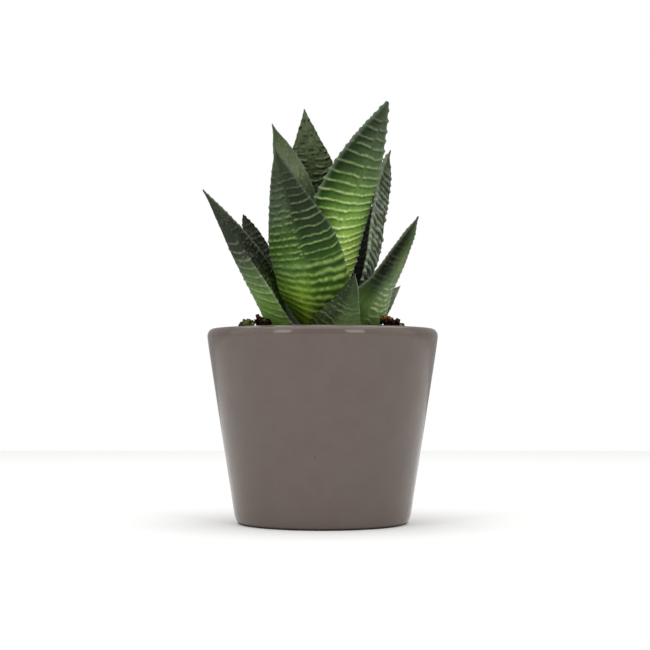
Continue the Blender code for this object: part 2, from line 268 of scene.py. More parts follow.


# One set of ridges on a face. along and reach are in mm, side runs from -1 to 1 over the face and
# half is half the leaf's width. Gives the relief of the ridges and the painted shade below them, 0 to 1.
def ridgeField(along, side, half, plan, seed):
    random = np.random.default_rng(seed)
    length = along[-1, 0]
    relief = np.zeros(np.broadcast_shapes(along.shape, side.shape))
    shade = relief.copy()
    first, last = plan["start"] * length, plan["end"] * length
    rises = np.array(plan["rise"])
    widest = half.max()
    place = first
    while place < last:
        share = place / length
        room = np.interp(place, along[:, 0], half[:, 0])
        reach = side * room
        scale = room / widest
        riseLeft, riseRight = (rootToTip(share, column) for column in rises.T)
        rise = np.where(side < 0, riseLeft, riseRight) * np.abs(side) ** plan["bow"] * scale
        rise = rise + plan["curl"] * side ** 6 * scale
        line = place + rise
        for octave in plan["octaves"]:
            shift, lift = random.uniform(0, fullTurn), random.normal(0, plan["wave"] / octave)
            line = line + lift * np.sin(reach * octave * fullTurn / plan["waveLength"] + shift)
        if random.random() < plan["jogShare"]:
            line = line + random.uniform(0.4, 1) * plan["jog"] * np.tanh(side / plan["jogWidth"]) / 2
        strength = 1 + plan["beads"] * cloud(reach + 50, place + 0 * reach, plan["bead"], seed + 5)
        strength = strength * random.uniform(1 - plan["uneven"], 1)
        strength = strength + plan["knob"] * np.exp(-((reach - plan["knobPlace"]) / plan["knobWidth"]) ** 2)
        for _ in range(random.poisson(plan["breaks"])):
            spot, width = random.uniform(-0.95, 0.95), random.uniform(*plan["breakWidth"])
            strength = strength * (1 - np.exp(-((reach - spot * room) / width) ** 2))
        if random.random() < plan["keelBreak"]:
            strength = strength * (1 - np.exp(-(reach / random.uniform(*plan["keelBreakWidth"])) ** 2))
        distance = along - line
        width = plan["width"] * np.where(distance > 0, plan["lean"], 1 / plan["lean"])
        patches = cloud(reach + 20, place + 0 * reach, plan["widthPatch"], seed + 9)
        width = width * (1 + plan["widthChange"] * patches)
        relief = np.maximum(relief, strength * np.exp(-(distance / width) ** 2))
        # painted shade: a dark band in the colour below the line, standing for its shadow
        below = (distance + plan["paintedShadeDrop"] * plan["width"]) / (plan["paintedShadeWidth"] * plan["width"])
        shade = np.maximum(shade, strength * np.exp(-below ** 2))
        place += rootToTip(share, plan["spacing"]) * random.uniform(1 - plan["stray"], 1 + plan["stray"])
    low, high = plan["sides"]
    soft = plan["sideFade"]
    keep = softStep(low - soft, low, side) * (1 - softStep(high, high + soft, side))
    fade = plan["fade"] * length
    keep = keep * softStep(first - fade, first + fade, along)
    keep = keep * (1 - softStep(last - fade, last + fade, along))
    return relief * keep, shade * keep


# Relief, paint and painted shade of all the sets on one face
def leafFields(along, side, half, sets, seed):
    relief = np.zeros(np.broadcast_shapes(along.shape, side.shape))
    paint, shade = relief.copy(), relief.copy()
    for number, given in enumerate(sets):
        plan = {**ridgeDefaults, **given}
        field, under = ridgeField(along, side, half, plan, seed + 31 * number)
        relief = np.maximum(relief, plan["height"] * field)
        cover = rootToTip(along / along[-1], plan["paint"])
        cover = cover * (1 - (1 - plan["leftPaint"]) * softStep(0, 0.6, -side))
        paint = np.maximum(paint, cover * np.clip(field, 0, 1) ** plan["sharp"])
        shade = np.maximum(shade, plan["under"] * np.clip(under, 0, 1))
    return relief, paint, shade


# Form that all the leaves share: sizes in mm, places as shares of the length from root to tip
leafForm = dict(
    keelShare=0.35, outerShare=0.9, innerShare=0.7,  # points round the leaf, against its real girth
    bluntness=0.06,                    # rounds the fold along the keel
    pointFrom=0.86,                    # the sides draw in to the point from here on
    marginRounds=3,
    teethFrom=(0.05, 0.2), toothWander=1.3, toothPatch=4.0,
    lumps=((4.5, 0.10), (1.1, 0.035)),  # size and height of the swellings all over the skin
    wartSize=0.55, wartPatch=3.0, wartsFrom=(0.25, 0.5), wartHeight=0.16,
    sink=0.06,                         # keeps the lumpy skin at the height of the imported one
    reliefFrom=0.04, plainTip=0.97,
    capSteps=(0.25, 0.45, 0.62, 0.78, 0.9))


# Smooth skin of a leaf, a row of points for each station: over the outer face from the left margin
# to the right one, and back over the inner face. edge is 1 at the margins and falls to 0 inside.
def smoothLeaf(run, columns, plan):
    middle, across, keel, hollow = (columns[:, None, start:start + 3] for start in (0, 3, 6, 9))
    fold = columns[:, 12][:, None]
    half = np.linalg.norm(across, axis=2) / mm
    reach = half.max() + np.linalg.norm(keel, axis=2).max() / mm * leafForm["keelShare"]
    outerCount = int(2 * reach / plan["grain"] * leafForm["outerShare"])
    innerCount = int(outerCount * leafForm["innerShare"])
    outerSide = np.linspace(-1, 1, outerCount)[None, :]
    innerSide = np.linspace(1, -1, innerCount + 2)[None, 1:-1]
    blunt = leafForm["bluntness"]
    bulge = 1 - ((outerSide ** 2 + blunt ** 2) ** (fold / 2) - blunt ** fold)
    bulge = bulge - bulge[:, :1]
    outer = middle + across * outerSide[:, :, None] + keel * bulge[:, :, None]
    inner = middle + across * innerSide[:, :, None] + hollow * (1 - innerSide[:, :, None] ** 2)
    skin = np.concatenate([outer, inner], axis=1)
    drawn = softStep(leafForm["pointFrom"], 1.0, run / run[-1])[:, None, None] ** 2
    skin = middle + (skin - middle) * (1 - (1 - plan["point"]) * drawn)
    side = np.concatenate([outerSide, innerSide], axis=1)
    edge = np.exp(-((1 - np.abs(side)) * half / plan["marginWidth"]) ** 2)
    for _ in range(leafForm["marginRounds"]):
        even = (np.roll(skin, 1, axis=1) + np.roll(skin, -1, axis=1)) / 2
        skin = skin + 0.5 * (even - skin) * edge[:, :, None] ** 2
    return skin, outerSide, innerSide, half, edge


# Height over the smooth skin, in mm, and the warts in it, 0 to 1
def leafHeight(along, around, share, side, relief, edge, plan, seed):
    wander = leafForm["toothWander"] * cloud(along, side * 3, leafForm["toothPatch"], seed + 70)
    tooth = 0.5 + 0.5 * np.sin(fullTurn * along / plan["toothPitch"] + wander)
    teeth = plan["toothHeight"] * edge * tooth ** 2 * softStep(*leafForm["teethFrom"], share)
    (wide, tall), (narrow, low) = leafForm["lumps"]
    lumps = tall * cloud(along, around, wide, seed + 71) + low * cloud(along, around, narrow, seed + 72)
    warts = plan["warts"] * softStep(0.35, 0.8, cloud(along, around * 1.3, leafForm["wartSize"], seed + 73))
    patches = cloud(along + 30, around, leafForm["wartPatch"], seed + 74)
    warts = warts * softStep(0.0, 0.4, patches + 0.3) * softStep(*leafForm["wartsFrom"], share)
    height = relief + teeth + plan["swell"] * edge + lumps + leafForm["wartHeight"] * warts - leafForm["sink"]
    height = height * softStep(0.0, leafForm["reliefFrom"], share)
    return height * (1 - 0.9 * softStep(leafForm["plainTip"], 1.0, share)), warts


def raisedSkin(skin, height):
    alongWay = np.gradient(skin, axis=0)
    roundWay = np.roll(skin, -1, axis=1) - np.roll(skin, 1, axis=1)
    normal = np.cross(roundWay, alongWay)
    normal = normal / np.linalg.norm(normal, axis=2, keepdims=True)
    return skin + normal * height[:, :, None] * mm


# Points and faces of the closed leaf. The last rows shrink on to a blunt tip along an ellipse.
def closedLeaf(skin, tip, point):
    rowSize = skin.shape[1]
    centre = skin[-1].mean(axis=0)
    tip = centre + (tip - centre) * (0.6 + 0.4 * point)
    capRows = [centre + (skin[-1] - centre) * math.sqrt(1 - step ** 2) + (tip - centre) * step
               for step in leafForm["capSteps"]]
    root = skin[0].mean(axis=0)
    points = np.concatenate([skin.reshape(-1, 3), np.concatenate(capRows), tip[None], root[None]])
    rows = len(skin) + len(capRows)
    lastRow, tipIndex, rootIndex = (rows - 1) * rowSize, rows * rowSize, rows * rowSize + 1
    faces = tubeFaces(rows, rowSize).tolist()
    for step in range(rowSize):
        faces.append((lastRow + step, lastRow + (step + 1) % rowSize, tipIndex))
        faces.append(((step + 1) % rowSize, step, rootIndex))
    return np.clip(points, cadLow, cadHigh), faces


def buildLeaf(node, plan, material, seed):
    run, columns, tip = leafStations(node, plan["grain"] * mm)
    skin, outerSide, innerSide, half, edge = smoothLeaf(run, columns, plan)
    side = np.concatenate([outerSide, innerSide], axis=1)
    isInner = np.concatenate([0 * outerSide, 1 + 0 * innerSide], axis=1)
    along = run[:, None] / mm
    around = side * half + 40 * isInner                  # keeps the two faces apart in the noise
    share = along / (run[-1] / mm) + 0 * side

    # where the margins take a pale colour that is partly their own and partly painted sheen
    windows = [softStep(low - 0.05, low + 0.05, share) * (1 - softStep(high - 0.1, high + 0.1, share))
               for low, high in (plan["paleMarginAndSheenLeft"], plan["paleMarginAndSheenRight"])]
    paleMarginAndSheenMask = edge * np.where(side < 0, *windows)
    outerFields = leafFields(along, outerSide, half, plan["outer"], seed)
    innerFields = leafFields(along, innerSide, half, plan["inner"], seed + 500)
    relief, paint, shade = (np.concatenate(pair, axis=1) for pair in zip(outerFields, innerFields))
    height, warts = leafHeight(along, around, share, side, relief, edge, plan, seed)
    points, faces = closedLeaf(raisedSkin(skin, height), tip, plan["point"])

    def spread(field):
        field = np.broadcast_to(field, skin.shape[:2])
        end = np.repeat(field[-1:], len(leafForm["capSteps"]), axis=0)
        return np.concatenate([field.ravel(), end.ravel(), [field[-1].mean(), field[0].mean()]])

    # the shade field below the ridges is painted shade, which darkens the colour there
    fields = {"share": share, "side": side, "alongMm": along, "acrossMm": around, "ridge": paint,
              "edge": paleMarginAndSheenMask, "inner": isInner, "wart": warts, "under": shade}
    fields = {name: spread(field) for name, field in fields.items()}
    takePlace(newPiece(node + "_skin", points.tolist(), faces, material, fields), node)
    return len(faces)


# Leaf skin is a waxy cuticle over green tissue, grown, not made: satin, with pale hard ridges and a pale
# margin that is partly painted sheen. Painted shade darkens the colour below each ridge, the left face
# takes a ramp of its own with painted light and shade, and the paler green low down is partly its own
# colour and partly painted light shining through the leaf.
def leafSkin(name, look):
    material, tree = newMaterial(name)
    share, side, ridge, under, wart, edge, inner, alongMm, acrossMm = (
        addNode(tree, "Attribute", {"attribute_name": field}, output="Fac")
        for field in ("share", "side", "ridge", "under", "wart", "edge", "inner", "alongMm", "acrossMm"))
    place = addNode(tree, "CombineXYZ", None, {"X": alongMm, "Y": acrossMm})
    stretched = addNode(tree, "VectorMath", {"operation": "MULTIPLY", 1: (0.16, 1.0, 1.0)}, {0: place})

    outerColour = addNode(tree, "ValToRGB", {"stops": look["outer"]}, {"Fac": share})
    # the left face takes a ramp of its own, which carries painted light and shade for the lamp on that side
    # besides the leaf's colour
    leftColour = addNode(tree, "ValToRGB", {"stops": look.get("left", look["outer"])}, {"Fac": share})
    innerColour = addNode(tree, "ValToRGB", {"stops": look["inner"]}, {"Fac": share})
    toLeftFaceToneAndLight = addNode(tree, "MapRange", {"From Min": 0.15, "From Max": look["leftFull"]}, {"Value": side})
    colour = addNode(tree, "Mix", {"data_type": "RGBA"},
                     {"Factor": toLeftFaceToneAndLight, "A": outerColour, "B": leftColour})
    colour = addNode(tree, "Mix", {"data_type": "RGBA"}, {"Factor": inner, "A": colour, "B": innerColour})

    # cloudy patches 5 mm across, lengthwise streaks 0.6 mm wide and grain of 0.4 mm
    tone = None
    for vector, scale, depth in ((place, 0.2, 0.18), (stretched, 1.7, 0.17), (place, 2.6, 0.14)):
        noise = addNode(tree, "TexNoise", {"Scale": scale, "Detail": 3.0, "Roughness": 0.6},
                        {"Vector": vector})
        level = addNode(tree, "MapRange", {"From Min": 0.3, "From Max": 0.7, "To Min": 1 - depth,
                                           "To Max": 1 + depth}, {"Value": noise})
        if tone is not None:
            level = addNode(tree, "Math", {"operation": "MULTIPLY"}, {0: tone, 1: level})
        tone = level
    # painted shade below each ridge darkens the colour
    paintedShadeDim = addNode(tree, "MapRange", {"To Min": 1.0, "To Max": 1 - look["paintedShadeDepth"]}, {"Value": under})
    tone = addNode(tree, "Math", {"operation": "MULTIPLY"}, {0: tone, 1: paintedShadeDim})
    toned = addNode(tree, "VectorMath", {"operation": "SCALE"}, {0: colour, "Scale": tone})

    ridgeColour = addNode(tree, "ValToRGB", {"stops": look["ridge"]}, {"Fac": share})
    pale = addNode(tree, "Math", {"operation": "MULTIPLY", 1: 0.7}, {0: wart})
    pale = addNode(tree, "Math", {"operation": "MAXIMUM"}, {0: ridge, 1: pale})
    broken = addNode(tree, "MapRange", {"From Min": 0.3, "From Max": 0.7, "To Min": 0.65, "To Max": 1.15},
                     {"Value": noise})
    pale = addNode(tree, "Math", {"operation": "MULTIPLY", "use_clamp": True}, {0: pale, 1: broken})
    colour = addNode(tree, "Mix", {"data_type": "RGBA"}, {"Factor": pale, "A": toned, "B": ridgeColour})
    # pale margin: partly the margin's own colour, partly painted sheen where the skin turns away
    paleMarginAndSheen = addNode(tree, "Math", {"operation": "MULTIPLY", 1: look["paleMarginAndSheen"]}, {0: edge})
    colour = addNode(tree, "Mix", {"data_type": "RGBA", "B": look["paleMarginAndSheenColour"]},
                     {"Factor": paleMarginAndSheen, "A": colour})

    fineBump = addNode(tree, "TexNoise", {"Scale": 3.2, "Detail": 3.0, "Roughness": 0.6}, {"Vector": place})
    bump = addNode(tree, "Bump", {"Strength": 0.35, "Distance": 0.12 * mm}, {"Height": fineBump})
    rough = addNode(tree, "MapRange", {"From Min": 0.3, "From Max": 0.7, "To Min": look["rough"] - 0.07,
                                       "To Max": look["rough"] + 0.07}, {"Value": noise})
    finishMaterial(tree, {"IOR": 1.42, "Specular IOR Level": look["gloss"]},
                   {"Base Color": colour, "Roughness": rough, "Normal": bump})
    return material


# Ridge lists run from root to tip: spacing in mm, rise of a line from the keel to the left and right
# margin in mm, and paint, the strength of the pale ridge colour. Colour stops run the same way.
plainRidges = dict(spacing=(2.4, 2.4, 2.2), height=0.2, width=0.26, rise=[(1.5, 1.5)], start=0.08,
                   end=0.85, wave=0.12, breaks=0.6, keelBreak=0.4, uneven=0.4, paint=(0.6,))
innerRidges = dict(spacing=(2.8, 2.6, 2.2), height=0.18, width=0.3, rise=[(0.5, 0.5)], start=0.15,
                   end=0.85, breaks=2.0, keelBreak=0.8, uneven=0.6, beads=0.5, paint=(0.4,))
# A leaf's point is how far it draws in, 1 for not at all, swell its thicker margin in mm, and the
# frost windows are where its margins are pale, partly with painted sheen. The hidden leaves are as these
# defaults say.
leafDefaults = dict(
    grain=0.3, marginWidth=0.5, toothPitch=2.2, toothHeight=0.14, point=0.7, warts=0.0, swell=0.0,
    paleMarginAndSheenLeft=(-1.0, 2.0), paleMarginAndSheenRight=(-1.0, 2.0),
    outer=[plainRidges], inner=[innerRidges],
    look=dict(outer=[(0.0, "5f7a35"), (0.3, "42592a"), (0.6, "2f3f24"), (1.0, "38432d")],
              inner=[(0.0, "4a5f30"), (0.4, "34422a"), (1.0, "3d4732")],
              ridge=[(0.0, "9ab56a"), (0.5, "83996a"), (1.0, "6b7a58")],
              paleMarginAndSheen=0.4, paleMarginAndSheenColour="8b9a80", leftFull=-0.3, rough=0.52, paintedShadeDepth=0.55, gloss=0.12))

# The colour stops hold painted light and shade besides each leaf's own colour, as the notes below say.
leafPlans = {
    "leaf_tall_right": dict(
        grain=0.22, toothPitch=3.0, toothHeight=0.34, marginWidth=0.7, point=0.75, swell=0.2,
        outer=[dict(spacing=(1.9, 2.3, 2.9, 3.2, 3.2), height=0.3, width=0.3, bow=1.3,
                    rise=[(-0.5, 6.5), (-3.2, 6.2), (-1.2, 3.8), (1.2, 2.4)], start=0.1, end=0.95,
                    wave=0.13, waveLength=6, jogShare=0.7, jog=0.9, knob=0.5, breaks=0.3, keelBreak=0.5,
                    beads=0.5, bead=0.6, uneven=0.25, paint=(0.8, 1.1, 0.85, 0.5), leftPaint=0.7, sharp=0.9,
                    under=0.8, lean=1.25)],
        # bright yellow-green low down: partly the leaf's own paler base, partly painted light shining through
        # it
        look=dict(outer=[(0.0, "a4c450"), (0.33, "8bb04a"), (0.5, "6c9240"), (0.65, "4c6436"),
                         (0.85, "42503a"), (1.0, "38442f")],
                  # left face near black: painted shade where it turns away from the lamps
                  left=[(0.0, "6c9030"), (0.3, "3c6414"), (0.5, "1d3e09"), (0.65, "0b1f03"),
                        (0.85, "122008"), (1.0, "18210f")],
                  ridge=[(0.0, "dcea9a"), (0.33, "d6e8a2"), (0.5, "b4ca84"), (0.65, "98ad70"),
                         (0.8, "82946a"), (1.0, "56624a")],
                  paleMarginAndSheen=0.55, paleMarginAndSheenColour="73836f", leftFull=-0.85, rough=0.48, paintedShadeDepth=0.6)),
    "leaf_front_left": dict(
        grain=0.22, toothPitch=2.3, toothHeight=0.16, point=0.6, warts=0.08,
        outer=[dict(spacing=(2.2, 2.3, 2.4, 2.4), height=0.26, width=0.24,
                    rise=[(1.5, -1.2), (2.2, -0.9), (1.5, 0.3)], curl=1.6, bow=1.2, start=0.37, end=0.88,
                    wave=0.12, waveLength=6, jogShare=0.5, jog=0.6, breaks=0.3, keelBreak=0.6, beads=0.6,
                    bead=0.6, uneven=0.3, paint=(0.75, 0.75, 0.75, 0.3, 0.1), sharp=1.0, under=0.9,
                    sides=(-0.05, 1.0)),
               dict(spacing=(2.1, 2.0, 2.2), height=0.24, width=0.3, rise=[(2.4, 2.0), (1.2, 1.0)], bow=1.5,
                    start=0.36, end=0.88, wave=0.14, waveLength=4, breaks=1.2, beads=1.0, uneven=0.3,
                    paint=(0.95, 0.95, 0.85, 0.3, 0.15), sharp=1.1, under=0.8, sides=(-1.0, -0.1)),
               dict(spacing=(2.2, 2.2, 2.2), height=0.18, width=0.48, rise=[(2.4, -1.2), (2.4, -0.4)],
                    bow=1.4, curl=1.0, start=0.02, end=0.38, wave=0.14, waveLength=7, breaks=0.2, beads=0.6,
                    paint=(0.8, 0.9), sharp=1.0, under=0.8)],
        look=dict(outer=[(0.0, "57691c"), (0.2, "365a0c"), (0.35, "294812"), (0.5, "1f3216"),
                         (0.68, "1d2814"), (1.0, "2f3929")],
                  # left face lighter green: painted light from the left lamp over the leaf's own colour
                  left=[(0.0, "84942a"), (0.18, "90bc34"), (0.35, "5a7c3e"), (0.5, "39571f"),
                        (0.65, "46573a"), (0.8, "3a4332"), (1.0, "363f2c")],
                  ridge=[(0.0, "8ea055"), (0.2, "98b45e"), (0.4, "92ae62"), (0.55, "8ba067"),
                         (0.7, "85937a"), (1.0, "8a947c")],
                  paleMarginAndSheenColour="6b7a68", paintedShadeDepth=0.6)),
    "leaf_low_left": dict(
        grain=0.24, toothPitch=1.8, toothHeight=0.2, point=0.6, warts=0.4, paleMarginAndSheenLeft=(0.3, 2.0),
        paleMarginAndSheenRight=(-1.0, 0.5),
        outer=[dict(spacing=(2.7, 2.6, 2.5, 2.2), height=0.2, width=0.27, bow=1.0, curl=1.8,
                    rise=[(3.0, -3.4), (3.0, -5.6), (3.0, -6.6)], start=0.04, end=0.72, wave=0.16,
                    breaks=0.6, beads=0.8, uneven=0.5, paint=(0.7, 0.6, 0.5), sharp=0.9, under=0.7)],
        inner=[dict(spacing=(1.5, 1.3, 1.2), height=0.24, width=0.3, rise=[(0.3, 0.3)], start=0.1, end=0.95,
                    wave=0.3, breaks=3.0, beads=1.2, uneven=0.7, paint=(0.2, 0.2, 0.35), under=0.9)],
        look=dict(outer=[(0.0, "7ca644"), (0.3, "749a48"), (0.48, "4a6234"), (0.62, "1e2a18"),
                         (0.8, "1a2410"), (1.0, "283318")],
                  # left face lighter than the outer ramp: painted light from the left lamp over the leaf's
                  # own colour
                  left=[(0.0, "5a783a"), (0.3, "5b7348"), (0.6, "475340"), (1.0, "3c472f")],
                  inner=[(0.0, "4a6c1a"), (0.25, "3c5c16"), (0.45, "142409"), (0.6, "1c2014"),
                         (0.8, "32372a"), (1.0, "343e28")],
                  ridge=[(0.0, "9aba6c"), (0.35, "a2b484"), (0.5, "a09f8a"), (0.7, "8f9580"),
                         (1.0, "747a64")],
                  paleMarginAndSheen=0.6, paleMarginAndSheenColour="8e937f", paintedShadeDepth=0.5)),
    "leaf_dark_left": dict(
        grain=0.26, toothPitch=1.6, toothHeight=0.3, warts=0.5,
        inner=[dict(spacing=(1.8, 1.6, 1.5), height=0.3, width=0.35, rise=[(0.4, 0.4)], start=0.1, end=0.95,
                    wave=0.25, breaks=1.5, beads=1.0, bead=0.7, uneven=0.6, paint=(0.35,), under=1.0)],
        look=dict(outer=[(0.0, "141c0c"), (0.6, "1c2412"), (1.0, "3c442c")],
                  # inner face near black low down: partly its own dark colour, partly painted shade inside
                  # the rosette
                  inner=[(0.0, "060904"), (0.4, "0d1803"), (0.62, "182405"), (0.78, "2c311f"),
                         (1.0, "4f5646")],
                  ridge=[(0.0, "3a3c2a"), (0.5, "64674a"), (0.7, "8a8c70"), (1.0, "8a8c70")],
                  paleMarginAndSheen=0.35, paleMarginAndSheenColour="4c4e3e", rough=0.55)),
    "leaf_back_left": dict(
        grain=0.26, toothHeight=0.1, marginWidth=0.4, point=0.6, warts=0.25,
        inner=[dict(spacing=(2.8, 2.6, 2.6), height=0.16, width=0.3, rise=[(0.5, 0.5)], start=0.1, end=0.62,
                    breaks=2.0, uneven=0.6, paint=(0.8,), under=0.9)],
        look=dict(outer=[(0.0, "4a6a2a"), (0.4, "3a4c2a"), (1.0, "3c4732")],
                  inner=[(0.0, "2c3d1a"), (0.5, "33451f"), (0.62, "48583a"), (0.76, "677458"),
                         (0.9, "505e40"), (1.0, "3d4a2c")],
                  ridge=[(0.0, "9aac60"), (0.6, "cddb98"), (1.0, "b4c094")],
                  paleMarginAndSheen=0.5, paleMarginAndSheenColour="93a284", rough=0.5)),
    "leaf_back": dict(
        grain=0.26, toothPitch=1.9, toothHeight=0.22, point=0.6, warts=0.5,
        inner=[dict(spacing=(2.9, 2.4, 2.0), height=0.4, width=0.27, rise=[(0.4, 0.4)], start=0.2, end=0.84,
                    waveLength=5, breaks=1.4, keelBreak=0.6, beads=1.0, bead=0.7, uneven=0.4, paint=(0.6,),
                    under=1.2),
               dict(spacing=(1.2, 1.2), height=0.2, width=0.35, rise=[(0.2, 0.2)], start=0.55, end=0.97,
                    breaks=2.5, beads=1.2, uneven=0.7, paint=(0.15,), under=0.9)],
        look=dict(outer=[(0.0, "4a6a2a"), (0.4, "3a4c2a"), (1.0, "3c4732")],
                  # inner face dark low down: painted shade in the middle of the rosette
                  inner=[(0.0, "14200a"), (0.45, "1c2c0a"), (0.6, "33441f"), (0.75, "4e5c3a"),
                         (1.0, "5f6c50")],
                  ridge=[(0.0, "a0ae78"), (0.6, "aebb8c"), (0.8, "a2ae8c"), (1.0, "74806a")],
                  paleMarginAndSheenColour="5c6450", rough=0.55, paintedShadeDepth=0.85)),
    "leaf_upright_right": dict(
        grain=0.24, toothPitch=2.0, toothHeight=0.26, point=0.45, swell=0.5,
        outer=[dict(spacing=(2.1, 2.0, 1.9, 1.8), height=0.36, width=0.4, rise=[(3.4, 1.2), (2.8, 1.0)],
                    bow=1.0, start=0.05, end=0.93, wave=0.26, waveLength=6, stray=0.3, breaks=0.5,
                    beads=1.0, bead=1.1, uneven=0.45, paint=(0.7, 0.65, 0.45, 0.4), sharp=0.8, under=0.55,
                    lean=1.7)],
        inner=[dict(spacing=(2.6, 2.6, 2.4), height=0.25, width=0.28, rise=[(0.3, 0.3)], start=0.1, end=0.9,
                    wave=0.15, breaks=0.8, beads=0.5, uneven=0.4, paint=(0.04,), under=0.9)],
        look=dict(outer=[(0.0, "24381a"), (0.33, "2c3e1e"), (0.48, "46533a"), (0.62, "333e28"),
                         (0.8, "2b3620"), (1.0, "3c4630")],
                  # inner face almost black: painted shade where it faces into the rosette
                  inner=[(0.0, "010200"), (0.6, "020301"), (0.78, "050a03"), (0.9, "1c2613"),
                         (1.0, "333d2b")],
                  ridge=[(0.0, "b4c2a4"), (0.5, "c3cfba"), (0.7, "b4beac"), (0.85, "a0ab96"),
                         (1.0, "5f6a56")],
                  paleMarginAndSheen=0.35, paleMarginAndSheenColour="98a28e", rough=0.55, paintedShadeDepth=0.75, gloss=0.05)),
    "leaf_low_right": dict(
        grain=0.24, toothPitch=1.5, toothHeight=0.2, point=0.4, warts=0.05,
        outer=[dict(spacing=(1.8, 1.7, 1.7), height=0.09, width=0.3, rise=[(-1.2, 3.4)], start=0.03,
                    end=0.16, breaks=1.2, beads=0.9, uneven=0.6, paint=(0.5,), sharp=1.0),
               dict(spacing=(1.8, 1.7, 1.7), height=0.09, width=0.3, rise=[(-1.2, 3.4)], start=0.13,
                    end=0.5, waveLength=5, breaks=1.2, beads=0.9, uneven=0.6, paint=(0.7,), sharp=0.9,
                    fade=0.08, sides=(-0.05, 1.0), sideFade=0.25),
               dict(spacing=(1.7, 1.7), height=0.06, width=0.28, rise=[(-1.2, 2.4)], start=0.4, end=0.9,
                    breaks=1.5, beads=0.9, uneven=0.6, paint=(0.07,), sharp=1.0)],
        look=dict(outer=[(0.0, "64883a"), (0.33, "728c52"), (0.5, "667c56"), (0.65, "5e7046"),
                         (0.8, "435630"), (1.0, "425138")],
                  # left face near black in the middle: painted shade where it turns away from the lamps
                  left=[(0.0, "507a24"), (0.16, "4f702a"), (0.3, "3c5420"), (0.45, "1c2812"),
                        (0.58, "070b03"), (0.8, "0b1205"), (1.0, "242e1a")],
                  ridge=[(0.0, "c4dc98"), (0.4, "d4e4b4"), (0.65, "b8c79a"), (0.8, "8a9c70"),
                         (1.0, "5c6c50")],
                  paleMarginAndSheen=0.35, paleMarginAndSheenColour="a0b090", leftFull=-0.5)),
    "leaf_small_front": dict(
        grain=0.22, toothPitch=1.2, toothHeight=0.12, marginWidth=0.32, point=0.45, warts=0.25,
        paleMarginAndSheenLeft=(2.0, 3.0),
        outer=[dict(spacing=(1.7, 1.6, 1.6), height=0.07, width=0.22, rise=[(1.2, 1.2)], start=0.05,
                    end=0.75, wave=0.3, breaks=2.2, beads=0.9, bead=0.4, uneven=0.6, paint=(0.3,),
                    sharp=1.0)],
        look=dict(outer=[(0.0, "4a7a22"), (0.25, "6a8a4a"), (0.45, "76925a"), (0.62, "4e6638"),
                         (0.8, "38462b"), (1.0, "27341b")],
                  # left face darker: painted shade on the side turned away from the lamps
                  left=[(0.0, "2f3910"), (0.3, "344616"), (0.5, "334425"), (0.75, "222e15"),
                        (1.0, "2b3721")],
                  ridge=[(0.0, "9cb86c"), (0.45, "b4c49a"), (0.65, "a0ae88"), (1.0, "64764e")],
                  paleMarginAndSheen=0.6, paleMarginAndSheenColour="8ea08a", rough=0.5)),
    "leaf_offset_shoot": dict(
        grain=0.22, toothPitch=1.4, toothHeight=0.1, marginWidth=0.35, point=0.6,
        look=dict(outer=[(0.0, "7f8e6a"), (0.5, "8e9a78"), (1.0, "7f8b68")],
                  inner=[(0.0, "8a9776"), (0.5, "a9b196"), (1.0, "98a286")],
                  ridge=[(0.0, "ccd4bc"), (1.0, "c4ccb4")],
                  paleMarginAndSheenColour="a3ae96")),
}

madeFaces = 0
for seed, node in enumerate(sorted(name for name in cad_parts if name.startswith("leaf_"))):
    plan = {**leafDefaults, **leafPlans.get(node, {})}
    plan["look"] = {**leafDefaults["look"], **plan["look"]}
    madeFaces += buildLeaf(node, plan, leafSkin("waxy_leaf_skin_" + node[5:], plan["look"]), 100 + 17 * seed)
print("leaves built,", madeFaces, "faces")


# Pot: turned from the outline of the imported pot, with its corners rounded

# heights are in mm under the rim or over the foot, sizes of the pattern are in mm
potPlan = dict(segments=192, cornerPasses=2, cornerCut=0.15, straightStep=1.5, body="615650", shade="5e534c",
               rim="655b55", footClayAndShade="2a211c", speck="3a2e28", mottleSize=7.0, speckSize=9.0, ripplesPerMm=0.45,
               thinFrom=2.3, lipFrom=(4.8, 1.8), bareFoot=(0.9, 0.3), rough=0.17, lipRough=0.13,
               clayRough=0.85)


def potOutline():
    points, faces = weldedNode("pot")
    angle = np.arctan2(points[:, 1], points[:, 0])
    onLine = {int(spot) for spot in np.flatnonzero(np.abs(angle) < 0.01)}
    joined = {spot: set() for spot in onLine}
    for face in faces:
        for one in face:
            if one in onLine:
                joined[one].update(set(face) & onLine - {one})
    spot = min((s for s in onLine if points[s, 2] < 0.1 * mm), key=lambda s: points[s, 0])
    order = [spot]
    while True:
        after = [s for s in joined[order[-1]] if s not in order]
        if not after:
            break
        order.append(after[0])
    return np.array([(points[s, 0], points[s, 2]) for s in order])


def roundCorners(outline):
    near = potPlan["cornerCut"]
    for _ in range(potPlan["cornerPasses"]):
        cut = np.empty((2 * len(outline) - 2, 2))
        cut[0::2] = (1 - near) * outline[:-1] + near * outline[1:]
        cut[1::2] = near * outline[:-1] + (1 - near) * outline[1:]
        outline = np.concatenate([outline[:1], cut, outline[-1:]])
    return outline


def buildPot():
    outline = roundCorners(potOutline())
    fine = [outline[0]]
    for one, two in zip(outline, outline[1:]):
        steps = max(1, int(np.linalg.norm(two - one) / (potPlan["straightStep"] * mm)))
        fine += [one + (two - one) * step / steps for step in range(1, steps + 1)]
    outline = np.array(fine)
    count, rows = potPlan["segments"], len(outline)
    angle = np.linspace(0, fullTurn, count, endpoint=False)
    radius, height = outline[:, 0][:, None], outline[:, 1][:, None]
    points = np.stack([radius * np.cos(angle), radius * np.sin(angle), height + 0 * angle], axis=2)
    faces = tubeFaces(rows, count).tolist()
    faces.append(tuple(range(count))[::-1])
    faces.append(tuple(range((rows - 1) * count, rows * count)))
    piece = newPiece("pot_glazed", points.reshape(-1, 3).tolist(), faces, potGlaze(),
                     {"potHeight": height / mm + 0 * angle})
    takePlace(piece, "pot")
